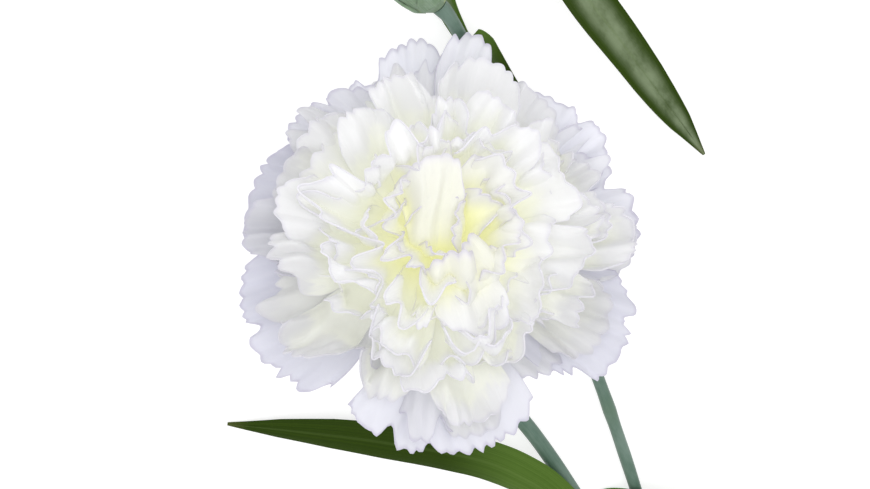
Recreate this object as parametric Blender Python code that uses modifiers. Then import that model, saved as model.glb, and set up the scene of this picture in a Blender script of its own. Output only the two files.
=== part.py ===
"""A cut spray carnation laid on a table: one open double bloom on the main stem, a bud on the
side stem, and leaves in pairs at the swollen joints.

+X runs along the stem towards the flowers, +Z is up and z = 0 is the table. Lengths in the
tables below are millimetres in the drawing frame, whose origin is under the middle of the bloom;
place() turns them into metres from the middle of the whole flower's footprint.
"""
import math

import bmesh
import bpy
from mathutils import Matrix, Vector, noise

MM = 0.001
FOOTPRINT_MIDDLE = Vector((-88.75, -1.0, 0.0))  # drawing frame, under the middle of the bounding box
GAP = 0.3  # clearance between neighbouring pieces

# ---- stems
STEM_RADIUS = 1.65
SIDE_STEM_RADIUS = 1.32
JOINT_SWELLING = 0.34  # how much thicker a leaf joint is than its stem
JOINT_LENGTH = 2.4
STEM_LINE = ((-236, -1.5, 1.65), (-208, 1.6, 2.2), (-182, 3.4, 2.9), (-150, 3.6, 3.5), (-128, 4.0, 3.9),
             (-110, 4.5, 4.0), (-92, 4.5, 4.0), (-66, 4.6, 3.6), (-46, 7.0, 3.3), (-35, 8.5, 3.2))
NECK_RADIUS = 12.0  # of the bend that lifts the top of the stem up to the calyx
BARE_JOINT_X = -182.0
FORK_JOINT_X = -128.0
UPPER_JOINT_X = -92.0
SIDE_STEM_LINE = ((-129, 3.7, 3.9), (-121, 1.2, 3.5), (-109, -3.2, 2.4), (-92, -7.4, 1.9), (-72, -11.6, 1.9),
                  (-60, -13.9, 1.7), (-32, -19.4, 1.5), (-4, -23.8, 1.8), (8, -25.5, 2.8), (16, -26.1, 3.4))
BUD_JOINT_X = 12.5
SIDE_JOINT_X = -72.0

# ---- open bloom: where its calyx starts, which way it faces, and its own zero direction
BLOOM_AXIS = Vector((0.588, -0.172, 0.790)).normalized()
BLOOM_ZERO = Vector((-0.478, -0.834, 0.276))
CALYX_BASE = Vector((-17.05, 5.0, 8.1))
CALYX_LENGTH = 24.0
CALYX_RADIUS = 6.9
CALYX_TEETH = 5
CALYX_THICKNESS = 0.7

# ---- bud
BUD_AXIS = Vector((0.985, 0.158, 0.09)).normalized()
BUD_BASE = Vector((31.15, -25.6, 7.3))
BUD_CALYX_LENGTH = 20.0
BUD_CALYX_RADIUS = 5.0

# ---- petals
PETAL_THICKNESS = 0.6
GUARD_TILT = math.radians(92)
HEART_TILT = math.radians(12)
GUARD_LENGTH = 39.0
HEART_LENGTH = 31.0
RUFFLE = 6.5
TOOTH_DEPTH = 0.65
# direction about the bloom's axis (degrees), half width (degrees), length, of each guard petal
GUARD_PETALS = ((204, 31, 37.4), (270, 33, 39.0), (334, 25, 38.6), (12, 25, 37.0), (42, 25, 37.6),
                (77, 13, 40.2), (101, 16, 40.0), (131, 26, 36.4), (164, 22, 36.6))
GUARD_ORDER = (0, 2, 4, 6, 8, 1, 3, 5, 7)  # outermost first, so neighbours lie on different layers
INNER_PETALS = 29
GOLDEN_ANGLE = 137.508

LEAF_THICKNESS = 0.7


def place(point):
    """Metres in the model's frame, from millimetres in the drawing frame."""
    return (Vector(point) - FOOTPRINT_MIDDLE) * MM


def smoothstep(low, high, value):
    t = min(max((value - low) / (high - low), 0.0), 1.0)
    return t * t * (3 - 2 * t)


def smooth_path(points, spans=6):
    """Points along the smooth curve that passes through all the given ones."""
    pts = [Vector(p) for p in points]
    pts = [2 * pts[0] - pts[1]] + pts + [2 * pts[-1] - pts[-2]]
    path = []
    for a, b, c, d in zip(pts, pts[1:], pts[2:], pts[3:]):
        for i in range(spans):
            t = i / spans
            path.append(0.5 * (2 * b + (c - a) * t + (2 * a - 5 * b + 4 * c - d) * t * t
                               + (3 * b - a - 3 * c + d) * t ** 3))
    path.append(pts[-2].copy())
    return path


def make_material(name, colour, roughness):
    material = bpy.data.materials.new(name)
    material.use_nodes = True
    shader = material.node_tree.nodes["Principled BSDF"]
    shader.inputs["Base Color"].default_value = (*colour, 1.0)
    shader.inputs["Roughness"].default_value = roughness
    shader.inputs["Metallic"].default_value = 0.0
    return material


def link(obj, material=None):
    bpy.context.scene.collection.objects.link(obj)
    if material:
        obj.data.materials.clear()
        obj.data.materials.append(material)
    return obj


def fuse(name, pieces, material):
    """One object from overlapping closed pieces, by a Boolean union on their collection."""
    first, rest = pieces[0], pieces[1:]
    group = bpy.data.collections.new(name + "_parts")
    bpy.context.scene.collection.children.link(group)
    for piece in rest:
        bpy.context.scene.collection.objects.unlink(piece)
        group.objects.link(piece)
    union = first.modifiers.new("union", "BOOLEAN")
    union.operation = "UNION"
    union.operand_type = "COLLECTION"
    union.collection = group
    union.solver = "MANIFOLD"
    mesh = evaluated_mesh(first)
    for piece in pieces:
        bpy.data.objects.remove(piece, do_unlink=True)
    bpy.data.collections.remove(group)
    mesh.name = name
    keep_largest_shell(mesh)
    return link(bpy.data.objects.new(name, mesh), material)


def keep_largest_shell(mesh):
    """Fill the small hollows that joining seals and drop loose scraps: all but the main shell."""
    bm = bmesh.new()
    bm.from_mesh(mesh)
    left = set(bm.faces)
    shells = []
    while left:
        shell, front = set(), [left.pop()]
        while front:
            face = front.pop()
            shell.add(face)
            for other in {f for edge in face.edges for f in edge.link_faces}:
                if other in left:
                    left.remove(other)
                    front.append(other)
        shells.append(shell)
    largest = max(shells, key=len)
    bmesh.ops.delete(bm, geom=[f for f in bm.faces if f not in largest], context="FACES")
    bm.to_mesh(mesh)
    bm.free()


def evaluated_mesh(obj):
    """The object's mesh as its modifiers leave it, in world space."""
    graph = bpy.context.evaluated_depsgraph_get()
    mesh = bpy.data.meshes.new_from_object(obj.evaluated_get(graph))
    mesh.transform(obj.matrix_world)
    return mesh


def tube(name, path, radii):
    """A closed round tube along the path, its radius given point by point (millimetres)."""
    curve = bpy.data.curves.new(name, "CURVE")
    curve.dimensions = "3D"
    curve.bevel_depth = MM
    curve.bevel_resolution = 4
    curve.use_fill_caps = True
    spline = curve.splines.new("POLY")
    spline.points.add(len(path) - 1)
    for point, where, radius in zip(spline.points, path, radii):
        point.co = (*place(where), 1.0)
        point.radius = radius
    obj = link(bpy.data.objects.new(name, curve))
    mesh = evaluated_mesh(obj)
    bpy.data.objects.remove(obj, do_unlink=True)
    bm = bmesh.new()
    bm.from_mesh(mesh)
    bmesh.ops.remove_doubles(bm, verts=bm.verts, dist=1e-6)
    bmesh.ops.recalc_face_normals(bm, faces=bm.faces)
    bm.to_mesh(mesh)
    bm.free()
    return link(bpy.data.objects.new(name, mesh))


def joint_swelling(x, joints):
    """How many times thicker the stem is at x, from the leaf joints along it."""
    return 1 + JOINT_SWELLING * sum(math.exp(-((x - j) / JOINT_LENGTH) ** 2) for j in joints)


def blade(name, shape, across, along, thickness, material=None):
    """A thin closed blade: a grid whose corners shape(u, v) puts in place, given its thickness.
    u runs over -1..1 across the blade and v over 0..1 along it."""
    bm = bmesh.new()
    bmesh.ops.create_grid(bm, x_segments=across, y_segments=along, size=1.0)
    for vert in bm.verts:
        column = round((vert.co.x + 1) / 2 * across)
        vert.co = place(shape(vert.co.x, (vert.co.y + 1) / 2, column))
    bmesh.ops.triangulate(bm, faces=bm.faces)
    mesh = bpy.data.meshes.new(name)
    bm.to_mesh(mesh)
    bm.free()
    obj = link(bpy.data.objects.new(name, mesh), material)
    solidify = obj.modifiers.new("thickness", "SOLIDIFY")
    solidify.thickness = thickness * MM
    solidify.offset = 0.0
    solidify.use_even_offset = False
    return obj


# ---------------------------------------------------------------- bloom


def petal_layer(k):
    """The surface of revolution that petals of depth k lie on, from 0 for the guard petals to 1
    for the heart, as (radius, height, tilt from the axis) millimetre by millimetre."""
    tilt_end = GUARD_TILT + (HEART_TILT - GUARD_TILT) * k
    bend = 8.5 + 4.0 * k
    radius = 5.0 * (1 - k) + 0.4
    height = 0.9
    rows = []
    for step in range(48):
        tilt = math.radians(6) + (tilt_end - math.radians(6)) * smoothstep(0, bend, step)
        tilt += math.radians(10) * (1 - k) * smoothstep(bend, 45, step)
        rows.append((radius, height, tilt))
        radius += math.sin(tilt)
        height += math.cos(tilt)
    return rows


def ruffle(s, length, angle, k):
    """How far a petal stands off its layer at distance s from its root. Neighbouring layers
    share nearly the same waves, so that they nest."""
    x, y = s * math.cos(angle), s * math.sin(angle)
    wide = noise.noise(Vector((x / 13, y / 13, 1.3 * k + 4)))
    fine = noise.noise(Vector((x / 6.5, y / 6.5, 2.4 * k + 9)))
    grow = smoothstep(0.3, 1.0, s / length)
    return RUFFLE * (0.35 + 0.65 * smoothstep(0, 0.3, k)) * grow * (wide + 0.6 * fine)


def bloom_frame():
    """Columns: the bloom's zero direction, its quarter direction and its axis."""
    zero = (BLOOM_ZERO - BLOOM_ZERO.dot(BLOOM_AXIS) * BLOOM_AXIS).normalized()
    return Matrix((zero, BLOOM_AXIS.cross(zero), BLOOM_AXIS)).transposed()


def petal_shape(k, direction, half_width, length):
    """Shape function of one fan petal with a toothed edge."""
    rows = petal_layer(k)
    turn = bloom_frame()
    mouth = CALYX_BASE + BLOOM_AXIS * CALYX_LENGTH

    def shape(u, v, column):
        s = v ** 1.4 * length * (1 - 0.13 * abs(u) ** 3)
        if v == 1:
            s += TOOTH_DEPTH if column % 2 else -TOOTH_DEPTH
        angle = direction + u * half_width
        i = min(int(s), len(rows) - 2)
        part = s - i
        radius, height, tilt = (a + (b - a) * part for a, b in zip(rows[i], rows[i + 1]))
        lift = ruffle(s, length, angle, k)
        radius -= lift * math.cos(tilt)
        height += lift * math.sin(tilt)
        local = Vector((radius * math.cos(angle), radius * math.sin(angle), height))
        return mouth + turn @ local

    return shape


def petal_list():
    """(depth, direction, half width, length) of every petal, outermost first."""
    petals = []
    total = len(GUARD_PETALS) + INNER_PETALS
    for i, which in enumerate(GUARD_ORDER):
        direction, half_width, length = GUARD_PETALS[which]
        petals.append((0.8 * i / total, math.radians(direction), math.radians(half_width), length))
    for i in range(INNER_PETALS):
        k = (len(GUARD_ORDER) + i) / (total - 1)
        half_width = 27 + 38 * k
        length = GUARD_LENGTH + (HEART_LENGTH - GUARD_LENGTH) * k - 1.5
        petals.append((k, math.radians(40 + GOLDEN_ANGLE * i), math.radians(half_width), length))
    return petals


def turned(name, profile, base, axis, steps=20):
    """A solid of revolution: (radius, distance along the axis) from the top down."""
    mesh = bpy.data.meshes.new(name)
    bm = bmesh.new()
    verts = [bm.verts.new((r * MM, 0.0, z * MM)) for r, z in profile]
    for a, b in zip(verts, verts[1:]):
        bm.edges.new((a, b))
    bm.to_mesh(mesh)
    bm.free()
    obj = link(bpy.data.objects.new(name, mesh))
    screw = obj.modifiers.new("turn", "SCREW")
    screw.steps = screw.render_steps = steps
    screw.use_merge_vertices = True
    screw.merge_threshold = 1e-6
    screw.use_normal_calculate = True
    obj.location = place(base)
    obj.rotation_euler = axis.to_track_quat("Z", "Y").to_euler()
    bpy.context.view_layer.update()
    mesh = evaluated_mesh(obj)
    bpy.data.objects.remove(obj, do_unlink=True)
    bm = bmesh.new()
    bm.from_mesh(mesh)
    bmesh.ops.remove_doubles(bm, verts=bm.verts, dist=1e-6)
    bmesh.ops.recalc_face_normals(bm, faces=bm.faces)
    bm.to_mesh(mesh)
    bm.free()
    return link(bpy.data.objects.new(name, mesh))


def build_bloom(material):
    mouth = CALYX_BASE + BLOOM_AXIS * CALYX_LENGTH
    core = turned("bloom_core", [(0, 15.5), (2.6, 14.8), (5.2, 12.2), (6.6, 8.8), (6.9, 5.2), (6.2, 2.2),
                                 (5.7, GAP), (0, GAP)], mouth, BLOOM_AXIS)
    pieces = [core]
    for i, (k, direction, half_width, length) in enumerate(petal_list()):
        across, along = (14, 5) if i < len(GUARD_PETALS) else (10, 4)
        shape = petal_shape(k, direction, half_width, length)
        pieces.append(blade(f"petal_{i}", shape, across, along, PETAL_THICKNESS))
    return fuse("bloom", pieces, material)


# ---------------------------------------------------------------- calyx and bud


def cup_blade(base, axis, zero, direction, half_width, stations):
    """Shape function of a scale or tooth on a turned cup. stations lists (radius, height,
    share of the half width) from its root to its tip."""
    side = (zero - zero.dot(axis) * axis).normalized()
    turn = Matrix((side, axis.cross(side), axis)).transposed()

    def shape(u, v, _):
        where = v * (len(stations) - 1)
        i = min(int(where), len(stations) - 2)
        part = where - i
        radius, height, share = (a + (b - a) * part for a, b in zip(stations[i], stations[i + 1]))
        angle = direction + u * half_width * share
        return base + turn @ Vector((radius * math.cos(angle), radius * math.sin(angle), height))

    return shape


def build_calyx(name, base, axis, length, radius, stem_radius, material):
    """A closed cup with five teeth round its mouth and four scales hugging its foot."""
    body = turned(name + "_cup", [(0, length - 1.2), (radius * 0.86, length - 1.2), (radius, length),
                                  (radius * 1.02, length * 0.8), (radius, length * 0.5),
                                  (radius * 0.93, length * 0.28), (radius * 0.78, length * 0.13),
                                  (radius * 0.56, length * 0.04), (stem_radius, 0), (0, 0)], base, axis)
    pieces = [body]
    step = 2 * math.pi / CALYX_TEETH
    for i in range(CALYX_TEETH):
        stations = ((radius * 0.93, length - 2.4, 1.0), (radius * 0.97, length, 0.96),
                    (radius * 1.07, length + 1.6, 0.6), (radius * 1.16, length + 2.9, 0.12))
        shape = cup_blade(base, axis, BLOOM_ZERO, i * step, step * 0.47, stations)
        pieces.append(blade(f"{name}_tooth_{i}", shape, 2, 3, CALYX_THICKNESS))
    for i in range(4):
        stations = ((radius * 0.50, 0.9, 0.7), (radius * 0.86, length * 0.15, 1.0),
                    (radius * 1.02, length * 0.27, 0.8), (radius * 1.11, length * 0.38, 0.08))
        shape = cup_blade(base, axis, BLOOM_ZERO, i * math.pi / 2 + 0.3, 0.62, stations)
        pieces.append(blade(f"{name}_scale_{i}", shape, 4, 3, CALYX_THICKNESS))
    return fuse(name, pieces, material)


def build_bud_petals(material):
    """The furled tip of the bud: a cone of petals rolled round each other."""
    bm = bmesh.new()
    bmesh.ops.create_cone(bm, cap_ends=True, cap_tris=True, segments=20, radius1=1, radius2=1, depth=2)
    bmesh.ops.subdivide_edges(bm, edges=[e for e in bm.edges if abs(e.verts[0].co.z - e.verts[1].co.z) > 1],
                              cuts=5, use_grid_fill=True)
    side = (BLOOM_ZERO - BLOOM_ZERO.dot(BUD_AXIS) * BUD_AXIS).normalized()
    turn = Matrix((side, BUD_AXIS.cross(side), BUD_AXIS)).transposed()
    for vert in bm.verts:
        v = (vert.co.z + 1) / 2
        angle = math.atan2(vert.co.y, vert.co.x)
        inner = 0.0 if abs(vert.co.x) + abs(vert.co.y) < 1e-6 else 1.0
        folds = 1 + (0.05 + 0.16 * v) * math.cos(5 * (angle - 1.5 * v))
        radius = inner * 3.9 * (1 - v ** 2.2 * 0.72) * folds
        height = BUD_CALYX_LENGTH - 1.2 + GAP + v * 8.0 + (0.9 * v * (1 - inner))
        local = Vector((radius * math.cos(angle), radius * math.sin(angle), height))
        vert.co = place(BUD_BASE + turn @ local)
    bmesh.ops.recalc_face_normals(bm, faces=bm.faces)
    mesh = bpy.data.meshes.new("bud_petals")
    bm.to_mesh(mesh)
    bm.free()
    return link(bpy.data.objects.new("bud_petals", mesh), material)


# ---------------------------------------------------------------- leaves


def leaf_shape(path, faces, widths, curls):
    """Shape function of a leaf. path is its midrib, faces the way its upper side looks at equal
    steps along it, widths the half width and curls the radius of its trough at the same steps."""
    def pick(rows, v):
        where = v * (len(rows) - 1)
        i = min(int(where), len(rows) - 2)
        return rows[i] + (rows[i + 1] - rows[i]) * (where - i)

    def shape(u, v, _):
        middle = pick(path, v)
        ahead, behind = pick(path, min(v + 0.02, 1)), pick(path, max(v - 0.02, 0))
        along = (ahead - behind).normalized()
        face = pick(faces, v)
        face = (face - face.dot(along) * along).normalized()
        side = along.cross(face)
        half_width, curl = pick(widths, v), pick(curls, v)
        angle = u * half_width / curl
        return middle + side * (curl * math.sin(angle)) + face * (curl * (1 - math.cos(angle)))

    return shape


def build_leaf(name, line, faces, width, root_radius, material, neck=(1, 1, 1, 1)):
    """A strap leaf: its root hugs the stem, its middle is nearly flat and its tip narrows. neck
    narrows it at the first four steps above its root."""
    path = smooth_path(line, 5)
    faces = [Vector(f).normalized() for f in faces]
    root = 1.25 * root_radius  # half of a root that wraps about 140 degrees of the stem
    widths = [root, root, width * 0.42, width * 0.47, width * 0.5, width * 0.5, width * 0.48,
              width * 0.43, width * 0.35, width * 0.22, 0.5]
    widths[1:5] = [half * part for half, part in zip(widths[1:5], neck)]
    curls = [root_radius, root_radius * 1.15, 6.0, 10.0, 14.0, 15.0, 14.0, 12.0, 9.0, 6.0, 4.0]
    return blade(name, leaf_shape(path, faces, widths, curls), 4, 18, LEAF_THICKNESS, material)


UP = (0, 0, 1)
DOWN = (0, 0, -1)
STEM_ROOT = STEM_RADIUS * (1 + JOINT_SWELLING) + GAP + LEAF_THICKNESS / 2 + 0.1
SIDE_ROOT = SIDE_STEM_RADIUS * (1 + JOINT_SWELLING) + GAP + LEAF_THICKNESS / 2 + 0.1


def root(centre, away, radius):
    """Where a leaf's midrib leaves the stem, on its side away from the stem's middle line."""
    return Vector(centre) + Vector(away).normalized() * radius


def build_leaves(material):
    """Three pairs. The upper pair stands at the joint near the bloom, the fork pair where the
    side stem leaves, and the bud pair just below the bud; all but two sweep back."""
    start = root((-95, 4.5, 4.0), (0, 0.6, 0.8), STEM_ROOT)
    build_leaf("leaf_upper_left", (start, start + Vector((6, 0.1, 0.1)), (-80, 8.0, 7.0), (-71.6, 11, 7.0),
                                   (-60.8, 17.2, 6.6), (-45.2, 31.5, 5.0), (-34, 43.5, 3.0), (-24.5, 54.9, 0.4)),
               ((0, -0.6, -0.8), (0, -0.6, -0.8), (0, -0.3, -0.9), DOWN, DOWN, DOWN), 9.6, STEM_ROOT, material)
    start = root((-97, 4.5, 4.0), (0, -0.6, -0.8), STEM_ROOT)
    build_leaf("leaf_upper_right", (start, start + Vector((3.0, -0.3, -0.1)), (-92.9, 0.5, 2.5),
                                    (-94.4, -3, 4.8), (-99, -9.4, 6.6), (-107.5, -16.3, 7.0), (-118, -24, 4.8),
                                    (-131, -32, 1.05)),
               ((0, 0.6, 0.8), (0.5, 0.4, 0.8), (0.7, 0, 0.7), (0.3, 0, 0.9), UP, UP, UP), 9.0, STEM_ROOT,
               material)
    start = root((-131, 4.0, 3.9), (0, 0.8, -0.6), STEM_ROOT)
    build_leaf("leaf_fork_left", (start, start + Vector((5, 0.2, -0.1)), (-117, 10.5, 1.4), (-106, 19.5, 1.2),
                                  (-95, 30.5, 1.0), (-86, 42, 0.4)),
               ((0, -0.8, 0.6), (0, -0.5, 0.8), UP, UP, UP), 8.6, STEM_ROOT, material)
    start = root((-127, 2.6, 3.9), (0, -0.8, 0.6), STEM_ROOT + 0.5)
    build_leaf("leaf_fork_right", (start, (-121.8, -1.6, 5.6), (-119.6, -4.6, 8.4), (-123, -8.5, 10.6),
                                   (-131, -13.5, 10.0), (-142, -19, 6.6), (-156, -25, 0.4)),
               ((0, 0.8, -0.6), (0.3, 0.7, -0.3), (0.8, 0.2, 0.3), (0.5, 0, 0.9), UP, UP, UP), 8.6,
               STEM_ROOT + 0.5, material)
    start = root((12.5, -25.9, 3.2), (0, -0.3, 0.95), SIDE_ROOT)
    build_leaf("leaf_bud_upper", (start, start + Vector((4.6, -0.4, 0.6)), (20.0, -27.3, 7.2),
                                  (21.6, -27.2, 8.5), (19.8, -27.5, 9.5), (11, -27.4, 9.3), (0, -28.3, 7.2),
                                  (-14, -29.8, 3.8), (-30, -31, 0.4)),
               ((0, 0.3, -0.95), (0.1, 0.3, -0.9), (1, 0, 0.1), (0.3, 0, 0.9), UP, UP, UP, UP), 7.2,
               SIDE_ROOT, material, (0.65, 0.65, 0.6, 0.75))
    start = root((12.5, -25.9, 3.2), (0, 0.3, -0.95), SIDE_ROOT)
    build_leaf("leaf_bud_lower", (start, (18.5, -26.5, 0.8), (27, -27.3, 0.5), (35.5, -29.8, 1.2),
                                  (40, -34.5, 3.2), (40, -40.5, 4.6), (34.5, -46.3, 5.6), (25, -49.2, 6.4),
                                  (14.4, -50.6, 6.5), (0.8, -52.4, 5.6), (-14.1, -53.9, 4.0), (-24, -55, 2.6),
                                  (-33.5, -56, 0.4)),
               ((0, -0.3, 0.95), UP, (0, 0.3, 0.9), (0.7, 0.3, 0.6), (0.4, -0.7, 0.6), (0, -0.5, 0.85),
                (0, -0.2, 1), UP, UP), 11.0, SIDE_ROOT, material, (0.5, 0.5, 1, 1))


# ---------------------------------------------------------------- stems


def thin_out(path, joints, bend_from):
    """The path with few points on its straight runs, more past bend_from and most at the joints."""
    kept = []
    for i, point in enumerate(path):
        stride = 9
        if point.x > bend_from:
            stride = 4
        if any(abs(point.x - j) < 2.4 * JOINT_LENGTH for j in joints):
            stride = 1
        if i % stride == 0 or point is path[-1]:
            kept.append(point)
    return kept


def neck_path(steps):
    """The round bend from the lying stem up to the foot of the calyx, its last point."""
    end = CALYX_BASE - BLOOM_AXIS * GAP
    level = Vector((BLOOM_AXIS.x, BLOOM_AXIS.y, 0)).normalized()
    rise = math.asin(BLOOM_AXIS.z)

    def on_bend(angle):
        return level * NECK_RADIUS * math.sin(angle) - Vector(UP) * NECK_RADIUS * math.cos(angle)

    return [end + on_bend(rise * i / steps) - on_bend(rise) for i in range(steps + 1)]


def build_stem(material):
    """The main stem and its side stem, grown together at the fork."""
    joints = (BARE_JOINT_X, FORK_JOINT_X, UPPER_JOINT_X)
    neck = neck_path(7)
    path = smooth_path(STEM_LINE + (tuple(neck[0]),), 12)
    path = thin_out(path, joints, STEM_LINE[-3][0])[:-1] + neck
    radii = [STEM_RADIUS * joint_swelling(p.x, joints) for p in path]
    radii[-3:] = [STEM_RADIUS * 1.02, STEM_RADIUS * 1.12, STEM_RADIUS * 1.4]
    main_stem = tube("main_stem", path, radii)
    joints = (SIDE_JOINT_X, BUD_JOINT_X)
    path = smooth_path(SIDE_STEM_LINE + (tuple(BUD_BASE - BUD_AXIS * 4.5),), 12)
    path = thin_out(path, joints, SIDE_STEM_LINE[-3][0])
    path += [BUD_BASE - BUD_AXIS * back for back in (2.2, GAP)]
    radii = [SIDE_STEM_RADIUS * joint_swelling(p.x, joints) for p in path]
    radii[-2:] = [SIDE_STEM_RADIUS * 1.1, SIDE_STEM_RADIUS * 1.35]
    side_stem = tube("side_stem", path, radii)
    return fuse("stem", [main_stem, side_stem], material)


def main():
    for obj in list(bpy.data.objects):
        bpy.data.objects.remove(obj, do_unlink=True)
    white = make_material("petal_white", (0.86, 0.86, 0.80), 0.6)
    stem_green = make_material("stem_green", (0.16, 0.24, 0.17), 0.55)
    calyx_green = make_material("calyx_green", (0.20, 0.29, 0.19), 0.55)
    leaf_green = make_material("leaf_green", (0.09, 0.15, 0.045), 0.5)
    build_stem(stem_green)
    build_leaves(leaf_green)
    build_calyx("calyx", CALYX_BASE, BLOOM_AXIS, CALYX_LENGTH, CALYX_RADIUS, STEM_RADIUS * 1.4, calyx_green)
    build_bloom(white)
    build_calyx("bud_calyx", BUD_BASE, BUD_AXIS, BUD_CALYX_LENGTH, BUD_CALYX_RADIUS, SIDE_STEM_RADIUS * 1.35,
                calyx_green)
    build_bud_petals(white)


main()
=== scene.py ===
"""The looks of a cut spray carnation lying on a table: one open double bloom, a bud on the side
stem and three pairs of leaves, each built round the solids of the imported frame.

Lengths are millimetres in the drawing frame: its origin is on the table under the middle of the
bloom, +X runs along the stem towards the flowers and +Z is up. place() turns them into metres in
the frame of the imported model.
"""

import math
import random
from collections import namedtuple

import bpy
from mathutils import Matrix, Vector, noise


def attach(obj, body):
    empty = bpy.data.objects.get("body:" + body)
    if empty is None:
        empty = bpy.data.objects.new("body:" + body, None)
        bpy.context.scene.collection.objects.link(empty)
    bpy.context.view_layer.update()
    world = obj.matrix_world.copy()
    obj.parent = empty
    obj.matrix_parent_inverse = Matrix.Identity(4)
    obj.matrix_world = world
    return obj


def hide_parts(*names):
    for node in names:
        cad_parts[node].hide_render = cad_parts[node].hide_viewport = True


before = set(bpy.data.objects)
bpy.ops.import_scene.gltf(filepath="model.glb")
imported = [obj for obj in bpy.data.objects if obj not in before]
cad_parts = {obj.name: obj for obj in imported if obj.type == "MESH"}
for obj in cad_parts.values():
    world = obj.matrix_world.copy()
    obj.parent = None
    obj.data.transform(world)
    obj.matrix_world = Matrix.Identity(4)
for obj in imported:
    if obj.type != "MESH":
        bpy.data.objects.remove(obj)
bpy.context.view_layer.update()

MM = 0.001
FOOTPRINT_MIDDLE = Vector((-88.75, -1.0, 0.0))
UP = Vector((0, 0, 1))
DOWN = Vector((0, 0, -1))

# ---- stems
STEM_RADIUS = 1.65
SIDE_STEM_RADIUS = 1.32
STEM_SIDES = 28
STEM_RING = 1.1  # from ring to ring along a stem
STEM_FLARE = 0.40  # how much thicker a stem grows under what it carries
SIDE_STEM_FLARE = 0.35
FLARE_LENGTH = 4.5
JOINT_SWELLING = 0.34
JOINT_LENGTH = 2.4  # how far the swelling reaches along the stem
JOINT_TINT_LENGTH = 3.2
GROOVE_DEPTH = 0.05  # of the groove round a joint, as a share of the stem's radius
GROOVE_WIDTH = 0.35
GROOVE_SHIFT = 0.6  # from the joint's middle
STEM_LINE = ((-236, -1.5, 1.65), (-208, 1.6, 2.2), (-182, 3.4, 2.9), (-150, 3.6, 3.5), (-128, 4.0, 3.9),
             (-110, 4.5, 4.0), (-92, 4.5, 4.0), (-66, 4.6, 3.6), (-46, 7.0, 3.3), (-35, 8.5, 3.2))
NECK_RADIUS = 12.0
STEM_JOINTS = {-182.0: 1.0, -128.0: 1.0, -92.0: 1.0}  # where, and how strong
SIDE_STEM_LINE = ((-129, 3.7, 3.9), (-121, 1.2, 3.5), (-109, -3.2, 2.4), (-92, -7.4, 1.9), (-72, -11.6, 1.9),
                  (-60, -13.9, 1.7), (-32, -19.4, 1.5), (-4, -23.8, 1.8), (8, -25.5, 2.8), (16, -26.1, 3.4))
SIDE_STEM_JOINTS = {-72.0: 0.3, 12.5: 1.0}
SIDE_STEM_END = 4.2  # the straight part below the bud
STEM_GAP = 0.3  # between a stem and what it carries

# ---- open bloom
BLOOM_AXIS = Vector((0.588, -0.172, 0.790)).normalized()
BLOOM_ZERO = Vector((-0.478, -0.834, 0.276))
CALYX_BASE = Vector((-17.05, 5.0, 8.1))
CALYX_LENGTH = 24.0
CALYX_RADIUS = 6.9
CALYX_WALL = 0.55
CALYX_TEETH = 5
CALYX_TOOTH = 3.0  # height of a tooth
CALYX_RIBS = 25
SCALES = 4  # round the foot of a calyx
SCALE_THICKNESS = 0.5
MOUTH = CALYX_BASE + BLOOM_AXIS * CALYX_LENGTH

# ---- bud
BUD_AXIS = Vector((0.985, 0.158, 0.09)).normalized()
BUD_BASE = Vector((31.15, -25.6, 7.3))
BUD_CALYX_LENGTH = 20.0
BUD_CALYX_RADIUS = 5.0
BUD_TIP_RADIUS = 3.9
BUD_TIP_SUNK = 1.2  # how far the furled petals start below the calyx's mouth
BUD_TIP_LENGTH = 8.0

# ---- petals
PETAL_THICKNESS = 0.3
GUARD_TILT = 92.0  # degrees from the bloom's axis at a petal's margin
HEART_TILT = 27.0
GUARD_LENGTH = 39.0  # inner petals go from this length at depth 0 to the next at depth 1
HEART_LENGTH = 30.0
GUARD_RISE = 3.5  # the part of a guard petal's length that only rises from the mouth
# for each guard petal: direction about the bloom's axis and half width (degrees), length, how sharp
# its teeth are, and its painted shade, from 0 for white to 1 for grey-lavender shade
GUARD_PETALS = ((205, 31, 36.4, 0.35, 0.52), (271, 33, 37.8, 0.75, 0.25), (331, 26, 37.2, 0.8, 0.47),
                (11, 25, 35.6, 0.5, 0.15), (43, 26, 36.6, 0.1, 0.06), (80, 9.5, 39.2, 0.45, 0.0),
                (103, 18.5, 39.0, 0.0, 0.0), (131, 26, 35.2, 0.05, 0.33), (164, 22, 35.6, 0.2, 0.75))
SHADE_PAINT_WIDTH = 12  # degrees over which the guard petals' painted shades run into each other
SHADE_PAINT_FADE = (0.15, 0.6)  # depths between which the painted shade fades away
PARTINGS = (236, 305)  # directions where guard petals part; petals pointing there are short
PARTING_WIDTH = 12  # degrees
PARTING_CUT = 10.0  # how much shorter the petals there are
PARTING_FADE = (0.3, 0.5)  # depths between which they are no longer short
GUARD_ORDER = (0, 2, 4, 6, 8, 1, 3, 5, 7)  # outermost first
INNER_PETALS = 72
INNER_DEPTH = 0.84  # of the last inner petal
FIRST_INNER_DIRECTION = 265
HEART_DEPTH = 0.88  # of the first of the innermost petals
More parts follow.
